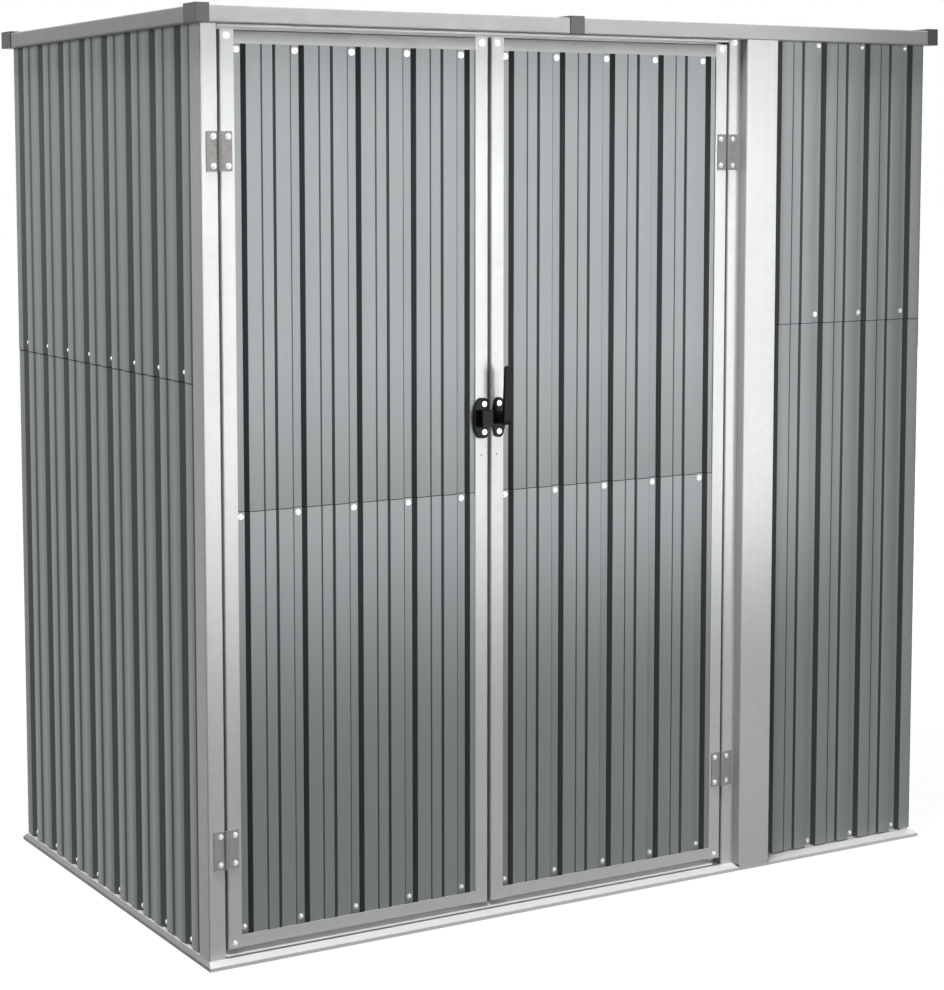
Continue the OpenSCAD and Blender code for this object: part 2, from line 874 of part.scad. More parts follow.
module latch_plate() {
    color(latch_black) translate([plate2_u0, 0, latch_z]) {
        forward(plate_v, plate_t) lever_plate();
        forward(plate_v - plate_t, hub_d) difference() {
            translate([plate2_w / 2, 0]) circle(r = hub_r);
            translate([plate2_w / 2, 0]) circle(r = spindle_r + pin_clear);
        }
    }
}

// The lever leans out to its rounded top, and its tail slopes back to the hub
module lever_face() {
    corner = [lever_w / 2 - lever_round, lever_l - lever_round];
    polygon(concat(
        [[-lever_w / 2, -hub_r], [lever_w / 2, -hub_r]],
        arc(corner, lever_round, 0, 90), arc([-corner.x, corner.y], lever_round, 90, 180)));
}

module lever_side() {
    polygon([
        [0, -hub_r], [-lever_t, -lever_tail], [-lever_t - lever_lean, lever_l],
        [-lever_lean, lever_l], [0, hub_r]]);
}

module latch_lever() {
    bar_v = lever_v - lever_neck;
    color(latch_black) translate([lever_u, 0, latch_z]) {
        forward(lever_v + spindle_l, spindle_l) circle(r = spindle_r);
        forward(lever_v, lever_neck) circle(r = hub_r);
        intersection() {
            forward(bar_v, lever_t + lever_lean) lever_face();
            translate([0, bar_v, 0]) along_u(-lever_w / 2, lever_w / 2) lever_side();
        }
    }
}

place() base_front_rail();
place() base_back_rail();
place() base_left_rail();
place() base_right_rail();
place() door_sill();
place() front_left_post();
place() front_right_post();
place() back_left_post();
place() back_right_post();
place() hinge_post();
place() door_header();
place() wall_mid_rails();
place() wall_top_rails();
place() left_wall_lower_sheet();
place() left_wall_upper_sheet();
place() right_wall_lower_sheet();
place() right_wall_upper_sheet();
place() back_wall_lower_sheet();
place() back_wall_upper_sheet();
place() front_panel_lower_sheet();
place() front_panel_upper_sheet();
place() roof_front_fascia_left();
place() roof_front_fascia_right();
place() roof_back_fascia();
place() roof_left_fascia();
place() roof_right_fascia();
place() roof_purlins();
place() roof_left_sheet();
place() roof_right_sheet();
place() roof_joint_cover();
place() roof_corner_caps();
place() frame_hinge_leaves();
place() left_door_stiles();
place() left_door_rails();
place() left_door_cross_bars();
place() left_door_lower_sheet();
place() left_door_upper_sheet();
place() left_door_hinge_leaves();
place() latch_keeper();
place() right_door_stiles();
place() right_door_rails();
place() right_door_cross_bars();
place() right_door_lower_sheet();
place() right_door_upper_sheet();
place() right_door_hinge_leaves();
place() latch_plate();
place() latch_lever();
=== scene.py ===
"""Finishes, fasteners and studio for a corrugated metal shed, laid out as a Blender add-on."""

import json
import math

import bmesh
import bpy
from bpy.props import FloatProperty, FloatVectorProperty, IntProperty, PointerProperty
from mathutils import Euler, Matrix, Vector

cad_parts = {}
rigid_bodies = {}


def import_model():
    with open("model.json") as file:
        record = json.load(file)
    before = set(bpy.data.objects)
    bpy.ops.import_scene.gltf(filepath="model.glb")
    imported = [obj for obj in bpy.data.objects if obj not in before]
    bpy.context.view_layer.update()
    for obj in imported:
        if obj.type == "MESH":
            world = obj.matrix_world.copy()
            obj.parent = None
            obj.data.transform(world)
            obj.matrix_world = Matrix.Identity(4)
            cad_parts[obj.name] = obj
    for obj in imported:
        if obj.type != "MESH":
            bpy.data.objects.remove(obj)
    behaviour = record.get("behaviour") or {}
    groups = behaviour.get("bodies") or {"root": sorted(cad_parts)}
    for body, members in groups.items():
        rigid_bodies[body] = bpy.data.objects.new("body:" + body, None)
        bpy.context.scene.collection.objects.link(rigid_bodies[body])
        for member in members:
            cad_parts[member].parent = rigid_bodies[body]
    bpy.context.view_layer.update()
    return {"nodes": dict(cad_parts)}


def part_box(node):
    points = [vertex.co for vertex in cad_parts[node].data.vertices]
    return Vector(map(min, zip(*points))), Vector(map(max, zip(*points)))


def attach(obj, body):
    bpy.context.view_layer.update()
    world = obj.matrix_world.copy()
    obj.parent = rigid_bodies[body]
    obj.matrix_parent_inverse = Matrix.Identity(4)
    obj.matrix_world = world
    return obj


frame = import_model()
NODES = frame["nodes"]

bl_info = {
    "name": "Shed looks",
    "version": (1, 0, 0),
    "blender": (4, 5, 0),
    "location": "View3D > Sidebar > Shed",
    "description": "Gives the shed its painted sheets, pale frame, screws and studio",
    "category": "Object",
}

MM = 0.001

# Pieces of the shed by finish
SHEETS = [n for n in NODES if n.endswith("_sheet")]
DOOR_SHEETS = [n for n in SHEETS if "_door_" in n]
SIDE_SHEETS = [n for n in SHEETS if n.startswith(("left_wall", "right_wall"))]
BACK_SHEETS = [n for n in SHEETS if n.startswith("back_wall")]
PANEL_SHEETS = [n for n in SHEETS if n.startswith("front_panel")]
ROOF_SHEETS = [n for n in SHEETS if n.startswith("roof_")]
UPRIGHTS = [n for n in NODES if n.endswith(("_post", "_stiles"))]
BASE = [n for n in NODES if n.startswith("base_")] + ["door_sill"]
DOOR_RAILS = ["left_door_rails", "right_door_rails"]
FASCIAS = [n for n in NODES if "_fascia" in n]
CAPS = ["roof_joint_cover", "roof_corner_caps"]
HINGES = [n for n in NODES if n.endswith("_hinge_leaves")]
LATCH = ["latch_keeper", "latch_plate", "latch_lever"]
LEVELS = [
    n for n in NODES
    if n not in SHEETS + UPRIGHTS + BASE + DOOR_RAILS + FASCIAS + CAPS + HINGES + LATCH
]

# Bodies that swing, and the screws that the key lamp would make glare
DOORS = ["left_door", "right_door"]
HINGE_SCREWS = [f"{body}_hinge_screws" for body in DOORS + ["frame"]]

# Axes of the shed's frame
X, Y = 0, 1
FRONT, BACK = Vector((0, -1, 0)), Vector((0, 1, 0))
LEFT, RIGHT = Vector((-1, 0, 0)), Vector((1, 0, 0))


def colour(name, description, default):
    return FloatVectorProperty(
        name=name, description=description, subtype="COLOR", size=3, min=0, max=1, default=default
    )


def length(name, description, default):
    return FloatProperty(
        name=name, description=description, default=default, min=0, subtype="DISTANCE", unit="LENGTH"
    )


def share(name, description, default):
    return FloatProperty(name=name, description=description, default=default, min=0, max=1)


def power(name, description, default):
    return FloatProperty(name=name, description=description, default=default, min=0, subtype="POWER")


def angle(name, description, degrees):
    return FloatProperty(
        name=name, description=description, default=math.radians(degrees), subtype="ANGLE"
    )


class ShedFinishes(bpy.types.PropertyGroup):
    """Colours and sheens of the shed's surfaces."""

    sheet: colour("Sheet", "Satin paint of the corrugated sheets", (0.325, 0.347, 0.352))
    frame: colour("Frame", "Pale galvanised metal of posts, rails and doors", (0.68, 0.684, 0.684))
    # The base is the frame's metal painted brighter: a painted highlight for the light on the base
    # frame and sill.
    base: colour("Base", "Brighter metal of the base frame and sill", (0.86, 0.865, 0.865))
    # The fascia is the pale metal painted darker: painted shade for the roof's edge.
    fascia: colour("Fascia", "Pale metal of the roof's edge", (0.345, 0.349, 0.347))
    cap: colour("Cap", "Dark plastic of the roof caps", (0.04, 0.04, 0.0415))
    hinge: colour("Hinge", "Zinc plating of the hinges", (0.29, 0.284, 0.275))
    latch: colour("Latch", "Black plastic of the latch", (0.003, 0.003, 0.0032))
    screw: colour("Screw", "Bright zinc of the screw heads", (0.72, 0.72, 0.72))
    sheet_roughness: share("Sheet roughness", "Sheen of the paint", 0.46)
    frame_roughness: share("Frame roughness", "Sheen of the pale metal", 0.4)


class ShedScrews(bpy.types.PropertyGroup):
    """Sizes of the screws and the heights of their rows."""

    washer_radius: length("Washer radius", "Radius of a sheet screw's washer", 5.8 * MM)
    washer_height: length("Washer height", "Thickness of a sheet screw's washer", 0.8 * MM)
    head_radius: length("Head radius", "Radius of a screw's head", 4.6 * MM)
    head_height: length("Head height", "Height of a screw's head over its washer", 2.6 * MM)
    side_head: length("Side head height", "Height of a side wall screw's head", 4.4 * MM)
    side_shift: length("Side shift", "Distance of a side wall screw behind its valley", 2.2 * MM)
    sides: IntProperty(name="Sides", description="Sides of a round head", default=12, min=6, max=24)
    door_top: length("Door top row", "Height of the doors' top row", 1725 * MM)
    door_seam: length("Door seam row", "Height of the doors' middle row", 855.5 * MM)
    door_bottom: length("Door bottom row", "Height of the doors' bottom row", 66 * MM)
    wall_bottom: length("Wall bottom row", "Height of the walls' bottom row", 26 * MM)
    wall_top: length("Wall top row", "Depth of the walls' top row under their edge", 6 * MM)
    seam_rise: length("Seam row", "Height of the walls' middle row above the lap", 17 * MM)
    corner_inset: length("Corner inset", "Distance of a corner screw from the door's end", 10.5 * MM)
    hinge_spread: length("Hinge screw spread", "Half the distance of a leaf's two screws", 27 * MM)
    frame_reach: length("Frame leaf reach", "Distance of the frame leaf's screws from the pin", 12 * MM)
    door_reach: length("Door leaf reach", "Distance of the door leaf's screws from the pin", 18 * MM)
    latch_spread: length("Latch screw spread", "Half the distance of a plate's two screws", 28 * MM)
    latch_reach: length("Latch screw reach", "Distance of the keeper's screws from its edge", 10 * MM)
    rivet_height: length("Rivet height", "Height of the rivets on the meeting stiles", 940 * MM)
    rivet_radius: length("Rivet radius", "Radius of the rivets on the meeting stiles", 2.6 * MM)
    rivet_head: length("Rivet head", "Height of a rivet's head", 1.2 * MM)


class ShedStudio(bpy.types.PropertyGroup):
    """Camera and lights."""

    camera_place: FloatVectorProperty(
        name="Camera place", description="Where the camera stands", subtype="XYZ", unit="LENGTH",
        default=(-2.6341, -4.4181, 1.5234))
    camera_yaw: angle("Camera yaw", "Turn of the camera to the left", -30.781)
    camera_pitch: angle("Camera pitch", "Tilt of the camera to the ground", 5.547)
    camera_lens: FloatProperty(
        name="Camera lens", description="Focal length in millimetres", default=84.947, min=10)
    camera_shift: FloatProperty(
        name="Camera shift", description="Upward shift of the view", default=-0.11)
    key_power: power("Key power", "Power of the narrow-beamed lamp at the front right", 4.05)
    fill_power: power("Fill power", "Power of the wide lamp at the front", 124)
    rear_power: power("Rear power", "Power of the wide lamp behind the left wall", 195)
    right_power: power("Right power", "Power of the wide lamp behind the right wall", 170)
    top_power: power("Top power", "Power of the lamp over the front edge", 212)
    ambient: share("Ambient", "Level of the light from all round", 0.035)


class ShedLooks(bpy.types.PropertyGroup):
    """All that a user would change."""

    finishes: PointerProperty(type=ShedFinishes)
    screws: PointerProperty(type=ShedScrews)
    studio: PointerProperty(type=ShedStudio)


def looks():
    return bpy.context.scene.shed_looks


# Shader groups shared by the finishes


def shader_group(name, inputs, outputs):
    """A shader node group with its sockets, and its input and output nodes."""
    tree = bpy.data.node_groups.new(name, "ShaderNodeTree")
    for socket, kind, default in inputs:
        made = tree.interface.new_socket(name=socket, in_out="INPUT", socket_type=kind)
        made.default_value = default
    for socket, kind in outputs:
        tree.interface.new_socket(name=socket, in_out="OUTPUT", socket_type=kind)
    return tree, tree.nodes.new("NodeGroupInput"), tree.nodes.new("NodeGroupOutput")


def plug(tree, value, socket):
    """Sets a socket to a number, or links another socket to it."""
    if isinstance(value, (int, float)):
        socket.default_value = value
    else:
        tree.links.new(value, socket)


def math_node(tree, operation, first, second):
    """The result of a Math node, whose sides are numbers or sockets."""
    node = tree.nodes.new("ShaderNodeMath")
    node.operation = operation
    plug(tree, first, node.inputs[0])
    plug(tree, second, node.inputs[1])
    return node.outputs[0]


def map_node(tree, value, **ends):
    """The result of a Map Range node, whose ends are numbers or sockets."""
    node = tree.nodes.new("ShaderNodeMapRange")
    tree.links.new(value, node.inputs["Value"])
    for name, end in ends.items():
        plug(tree, end, node.inputs[name.replace("_", " ")])
    return node.outputs["Result"]


def noise_node(tree, place, scale, detail):
    """Noise round a place, with a scale that is a number or a socket."""
    node = tree.nodes.new("ShaderNodeTexNoise")
    tree.links.new(place, node.inputs["Vector"])
    plug(tree, scale, node.inputs["Scale"])
    node.inputs["Detail"].default_value = detail
    return node.outputs["Fac"]


def own_place(tree):
    """The shaded point in its object's own coordinates."""
    return tree.nodes.new("ShaderNodeTexCoord").outputs["Object"]


def own_height(tree):
    """The shaded point's height in its object's own coordinates."""
    split = tree.nodes.new("ShaderNodeSeparateXYZ")
    tree.links.new(own_place(tree), split.inputs["Vector"])
    return split.outputs["Z"]


def swing(tree, value, contrast):
    """A shade that swings about 1 as a value from 0 to 1 does about its middle."""
    centred = math_node(tree, "SUBTRACT", value, 0.5)
    return math_node(tree, "ADD", math_node(tree, "MULTIPLY", centred, contrast), 1)


def rolled_grain_group():
    """Long faint streaks left by the rolls: noise stretched along the way the metal was rolled."""
    tree, given, made = shader_group(
        "Rolled grain",
        [("Stretch", "NodeSocketVector", (1, 1, 0.02)), ("Scale", "NodeSocketFloat", 60),
         ("Contrast", "NodeSocketFloat", 0.1)],
        [("Shade", "NodeSocketFloat"), ("Height", "NodeSocketFloat")])
    mapping = tree.nodes.new("ShaderNodeMapping")
    tree.links.new(own_place(tree), mapping.inputs["Vector"])
    tree.links.new(given.outputs["Stretch"], mapping.inputs["Scale"])
    streaks = noise_node(tree, mapping.outputs["Vector"], given.outputs["Scale"], detail=4)
    tree.links.new(swing(tree, streaks, given.outputs["Contrast"]), made.inputs["Shade"])
    tree.links.new(streaks, made.inputs["Height"])
    return tree


def spangle_group():
    """Zinc crystals: flat patches of slightly different brightness."""
    tree, given, made = shader_group(
        "Zinc spangle",
        [("Scale", "NodeSocketFloat", 90), ("Contrast", "NodeSocketFloat", 0.06)],
        [("Shade", "NodeSocketFloat"), ("Patch", "NodeSocketFloat")])
    cells = tree.nodes.new("ShaderNodeTexVoronoi")
    split = tree.nodes.new("ShaderNodeSeparateColor")
    tree.links.new(own_place(tree), cells.inputs["Vector"])
    tree.links.new(given.outputs["Scale"], cells.inputs["Scale"])
    tree.links.new(cells.outputs["Color"], split.inputs["Color"])
    tree.links.new(swing(tree, split.outputs["Red"], given.outputs["Contrast"]), made.inputs["Shade"])
    tree.links.new(split.outputs["Green"], made.inputs["Patch"])
    return tree


def ground_dust_group():
    """Dust in soft clouds that thin out from the ground up to a height."""
    tree, given, made = shader_group(
        "Ground dust",
        [("Height", "NodeSocketFloat", 0.3), ("Amount", "NodeSocketFloat", 0.2)],
        [("Mask", "NodeSocketFloat")])
    fall = map_node(tree, own_height(tree), From_Max=given.outputs["Height"], To_Min=1, To_Max=0)
    clouds = math_node(tree, "MULTIPLY", fall, noise_node(tree, own_place(tree), scale=14, detail=5))
    tree.links.new(math_node(tree, "MULTIPLY", clouds, given.outputs["Amount"]), made.inputs["Mask"])
    return tree


def fold_shade_group():
    """Marks the sloping sides of a sheet's folds for painted shade: 1 where a face turns most along the
    sheet.
    """
    tree, given, made = shader_group(
        "Fold shade",
        [("Along", "NodeSocketVector", (1, 0, 0)), ("Low", "NodeSocketFloat", 0.2),
         ("High", "NodeSocketFloat", 0.8)],
        [("Mask", "NodeSocketFloat")])
    face = tree.nodes.new("ShaderNodeNewGeometry")
    turned = tree.nodes.new("ShaderNodeVectorTransform")
    turned.vector_type, turned.convert_from, turned.convert_to = "NORMAL", "WORLD", "OBJECT"
    lean = tree.nodes.new("ShaderNodeVectorMath")
    lean.operation = "DOT_PRODUCT"
    tree.links.new(face.outputs["True Normal"], turned.inputs["Vector"])
    tree.links.new(turned.outputs["Vector"], lean.inputs[0])
    tree.links.new(given.outputs["Along"], lean.inputs[1])
    steep = math_node(tree, "ABSOLUTE", lean.outputs["Value"], 0)
    rise = map_node(tree, steep, From_Min=given.outputs["Low"], From_Max=given.outputs["High"])
    tree.links.new(rise, made.inputs["Mask"])
    return tree


def lap_group():
    """A thin dark line painted along the edge of a lap as its painted shadow, and a soft painted shade
    on the sheet above it.

    A width below 0 puts the line under the edge.
    """
    tree, given, made = shader_group(
        "Lap",
        [("Height", "NodeSocketFloat", 1), ("Width", "NodeSocketFloat", 0.002),
         ("Reach", "NodeSocketFloat", 0.3)],
        [("Line", "NodeSocketFloat"), ("Shade", "NodeSocketFloat")])
    above = math_node(tree, "SUBTRACT", own_height(tree), given.outputs["Height"])
    middle = math_node(tree, "MULTIPLY", given.outputs["Width"], 0.5)
    off = math_node(tree, "ABSOLUTE", math_node(tree, "SUBTRACT", above, middle), 0)
    half = math_node(tree, "ABSOLUTE", middle, 0)
    tree.links.new(math_node(tree, "LESS_THAN", off, half), made.inputs["Line"])
    fade = map_node(tree, above, From_Max=given.outputs["Reach"], To_Min=1, To_Max=0)
    over = math_node(tree, "GREATER_THAN", above, 0)
    tree.links.new(math_node(tree, "MULTIPLY", fade, over), made.inputs["Shade"])
    return tree


def eaves_shade_group():
    """Rises from 0 to 1 between two heights, for the painted shade under the roof's edge."""
    tree, given, made = shader_group(
        "Eaves shade",
        [("Low", "NodeSocketFloat", 1.6), ("High", "NodeSocketFloat", 1.8)],
        [("Mask", "NodeSocketFloat")])
    low, high = given.outputs["Low"], given.outputs["High"]
    rise = map_node(tree, own_height(tree), From_Min=low, From_Max=high)
    tree.links.new(rise, made.inputs["Mask"])
    return tree


def moulded_grain_group():
    """Fine even grain of a spark-eroded mould or of sprayed paint."""
    tree, given, made = shader_group(
        "Moulded grain",
        [("Scale", "NodeSocketFloat", 900)],
        [("Height", "NodeSocketFloat")])
    grain = noise_node(tree, own_place(tree), given.outputs["Scale"], detail=2)
    tree.links.new(grain, made.inputs["Height"])
    return tree


SHADER_GROUPS = {
    "Rolled grain": rolled_grain_group,
    "Zinc spangle": spangle_group,
    "Ground dust": ground_dust_group,
    "Fold shade": fold_shade_group,
    "Lap": lap_group,
    "Eaves shade": eaves_shade_group,
    "Moulded grain": moulded_grain_group,
}


class Finish:
    """A material with a Principled shader, and the few node steps that the finishes share."""

    def __init__(self, name):
        self.material = bpy.data.materials.new(name)
        self.material.use_nodes = True
        self.tree = self.material.node_tree
        self.shader = self.tree.nodes["Principled BSDF"]

    def set(self, **values):
        for socket, value in values.items():
            self.shader.inputs[socket.replace("_", " ")].default_value = value
        return self

    def use(self, name, **values):
        """Places a shared shader group, made at its first use, with values of this finish."""
        node = self.tree.nodes.new("ShaderNodeGroup")
        node.node_tree = bpy.data.node_groups.get(name) or SHADER_GROUPS[name]()
        for socket, value in values.items():
            node.inputs[socket].default_value = value
        return node

    def shaded(self, base, *shades):
        """The base colour times each shade."""
        result = None
        for shade in shades:
            node = self.tree.nodes.new("ShaderNodeVectorMath")
            node.operation = "SCALE"
            if result is None:
                node.inputs[0].default_value = base
            else:
                self.tree.links.new(result, node.inputs[0])
            self.tree.links.new(shade, node.inputs["Scale"])
            result = node.outputs["Vector"]
        return result

    def dimmed(self, mask, amount):
        """A shade of 1 that falls by an amount where the mask is 1."""
        return math_node(self.tree, "SUBTRACT", 1, math_node(self.tree, "MULTIPLY", mask, amount))

    def dusted(self, base, dust, mask):
        mix = self.tree.nodes.new("ShaderNodeMix")
        mix.data_type = "RGBA"
        self.tree.links.new(mask, mix.inputs["Factor"])
        self.tree.links.new(base, mix.inputs["A"])
        mix.inputs["B"].default_value = (*dust, 1)
        return mix.outputs["Result"]

    def colour(self, socket):
        self.tree.links.new(socket, self.shader.inputs["Base Color"])

    def roughness(self, source, level, below, above):
        """Lets the roughness vary below and above its level."""
        spread = map_node(self.tree, source, To_Min=level - below, To_Max=level + above)
        self.tree.links.new(spread, self.shader.inputs["Roughness"])

    def bump(self, height, strength, distance):
        node = self.tree.nodes.new("ShaderNodeBump")
        node.inputs["Strength"].default_value = strength
        node.inputs["Distance"].default_value = distance
        self.tree.links.new(height, node.inputs["Height"])
        self.tree.links.new(node.outputs["Normal"], self.shader.inputs["Normal"])


# Colours, stretches of the noise, shares of painted shade and heights in metres that the finishes use
DUST = (0.42, 0.41, 0.39)
UPRIGHT_STRETCH = (1, 1, 0.012)
LEVEL_STRETCH = (0.012, 0.012, 1)
EVEN_STRETCH = (1, 1, 1)
PLATED_STRETCH = (1, 1, 0.06)
NO_LAP = 0
LAP_REACH = 0.28
LAP_SHADOW_LINE = 0.8
LAP_WIDTH = 1.8 * MM
SIDE_LAP_WIDTH = 3 * MM
EAVES_REACH = 0.25
DOOR_RAIL_REACH = 0.05
OVER_THE_ROOF = 4


def painted_sheet(name, along, painted_fold_shade, lap, lap_width, painted_lap_shade):
    """Satin paint, with painted shade on the folds' slopes, a painted shadow line along the lap and
    painted shade above it.
    """
    p = looks().finishes
    finish = Finish(name).set(Specular_IOR_Level=0.12)
    grain = finish.use("Rolled grain", Stretch=UPRIGHT_STRETCH, Scale=45, Contrast=0.07)
    folds = finish.use("Fold shade", Along=along, Low=0.15, High=0.5)
    seam = finish.use("Lap", Height=lap, Width=lap_width, Reach=LAP_REACH)
    dust = finish.use("Ground dust", Height=0.22, Amount=0.1)
    peel = finish.use("Moulded grain", Scale=420)
    # Painted shade on the folds' slopes, a painted shadow line at the lap and painted shade above the
    # lap darken the paint's own grain and tone here.
    base = finish.shaded(
        p.sheet, grain.outputs["Shade"], finish.dimmed(folds.outputs["Mask"], painted_fold_shade),
        finish.dimmed(seam.outputs["Line"], LAP_SHADOW_LINE),
        finish.dimmed(seam.outputs["Shade"], painted_lap_shade))
    finish.colour(finish.dusted(base, DUST, dust.outputs["Mask"]))
    finish.roughness(grain.outputs["Height"], p.sheet_roughness, below=0.06, above=0.08)
    finish.bump(peel.outputs["Height"], strength=0.12, distance=0.15 * MM)
    return finish.material


def pale_metal(name, base, stretch, painted_flank_shade, painted_eaves_shade, reach):
    """Galvanised metal, with painted shade on its flanks and, within a reach, under the roof's edge."""
    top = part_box("left_door_rails")[1].z
    finish = Finish(name).set(Specular_IOR_Level=0.25)
    # Painted shade: darker on the flanks that face left and right, and darker towards the top of the
    # door rails under the roof's edge
    sides = finish.use("Fold shade", Along=RIGHT)
    roof = finish.use("Eaves shade", Low=top - reach, High=top)
    grain = finish.use("Rolled grain", Stretch=stretch, Scale=110, Contrast=0.08)
    zinc = finish.use("Zinc spangle", Scale=70, Contrast=0.035)
    dust = finish.use("Ground dust", Height=0.16, Amount=0.2)
    base = finish.shaded(
        base, grain.outputs["Shade"], zinc.outputs["Shade"],
        finish.dimmed(sides.outputs["Mask"], painted_flank_shade), finish.dimmed(roof.outputs["Mask"], painted_eaves_shade))
    finish.colour(finish.dusted(base, DUST, dust.outputs["Mask"]))
    finish.roughness(zinc.outputs["Patch"], looks().finishes.frame_roughness, below=0.05, above=0.07)
    finish.bump(grain.outputs["Height"], strength=0.06, distance=0.1 * MM)
    return finish.material


def plastic(name, base, roughness, grain_scale, sheen, dusty):
    """Moulded plastic with a fine grain, a slightly uneven tone and dust all over."""
    finish = Finish(name).set(Specular_IOR_Level=sheen)
    grain = finish.use("Moulded grain", Scale=grain_scale)
    dust = finish.use("Ground dust", Height=OVER_THE_ROOF, Amount=dusty)
    tone = finish.use("Rolled grain", Stretch=EVEN_STRETCH, Scale=18, Contrast=0.16)
    finish.colour(
        finish.dusted(finish.shaded(base, tone.outputs["Shade"]), DUST, dust.outputs["Mask"]))
    finish.roughness(grain.outputs["Height"], roughness, below=0.06, above=0.1)
    finish.bump(grain.outputs["Height"], strength=0.25, distance=0.2 * MM)
    return finish.material


def plated(name, base, roughness, metallic):
    """Zinc plating with small crystals and the marks of the drawn wire or strip."""
    finish = Finish(name).set(Metallic=metallic, Specular_IOR_Level=0.4)
    zinc = finish.use("Zinc spangle", Scale=220, Contrast=0.14)
    grain = finish.use("Rolled grain", Stretch=PLATED_STRETCH, Scale=260, Contrast=0.12)
    finish.colour(finish.shaded(base, zinc.outputs["Shade"], grain.outputs["Shade"]))
    finish.roughness(zinc.outputs["Patch"], roughness, below=0.05, above=0.08)
    finish.bump(grain.outputs["Height"], strength=0.1, distance=0.1 * MM)
    return finish.material


# How the edges of CAD pieces are rounded
SAME_POINT = 0.01 * MM
MOULDED_EDGE = math.radians(40)
MOULDED_STEPS = 2
CUT_EDGE = math.radians(80)


def soften(names, width):
    """Rounds the edges of moulded CAD pieces."""
    for name in names:
        weld = NODES[name].modifiers.new("Join corners", "WELD")
        weld.merge_threshold = SAME_POINT
        bevel = NODES[name].modifiers.new("Moulded edges", "BEVEL")
        bevel.width, bevel.segments = width, MOULDED_STEPS
        bevel.limit_method, bevel.angle_limit = "ANGLE", MOULDED_EDGE


def round_folds_tree():
    """Lets light run softly over a sheet's folds, with its cut edges left sharp."""
    tree = bpy.data.node_groups.new("Round folds", "GeometryNodeTree")
    tree.is_modifier = True
    tree.interface.new_socket(name="Geometry", in_out="INPUT", socket_type="NodeSocketGeometry")
    sharp = tree.interface.new_socket(name="Sharp Angle", in_out="INPUT", socket_type="NodeSocketFloat")
    sharp.subtype = "ANGLE"
    tree.interface.new_socket(name="Geometry", in_out="OUTPUT", socket_type="NodeSocketGeometry")
    given, made, join, normal, bend, over = (tree.nodes.new(kind) for kind in (
        "NodeGroupInput", "NodeGroupOutput", "GeometryNodeMergeByDistance", "GeometryNodeSetMeshNormal",
        "GeometryNodeInputMeshEdgeAngle", "FunctionNodeCompare"))
    join.inputs["Distance"].default_value = SAME_POINT
    normal.mode = "SHARPNESS"
    normal.inputs["Remove Custom"].default_value = True
    tree.links.new(given.outputs["Geometry"], join.inputs["Geometry"])
    tree.links.new(join.outputs["Geometry"], normal.inputs["Mesh"])
    tree.links.new(bend.outputs["Unsigned Angle"], over.inputs["A"])
    tree.links.new(given.outputs["Sharp Angle"], over.inputs["B"])
    tree.links.new(over.outputs["Result"], normal.inputs["Edge Sharpness"])
    tree.links.new(normal.outputs["Mesh"], made.inputs["Geometry"])
    return tree, sharp.identifier


def round_folds(names):
    """Gives the named CAD sheets the smooth folds of rolled metal."""
    tree, sharp = round_folds_tree()
    for name in names:
        folds = NODES[name].modifiers.new("Round folds", "NODES")
        folds.node_group = tree
        folds[sharp] = CUT_EDGE


def dress(names, material):
    """Gives each named CAD piece one material."""
    for name in names:
        slots = NODES[name].data.materials
        slots.clear()
        slots.append(material)


# Screws: the top of a washer and the head of a rivet as shares of the washer's radius,
# and the heights of a dome's rings in degrees
RIM_SHARE = 0.94
DOME_ANGLES = (30, 55, 78)
RIVET_SHARE = 0.95


def new_object(name, mesh):
    made = bpy.data.objects.new(name, mesh)
    bpy.context.scene.collection.objects.link(made)
    return made


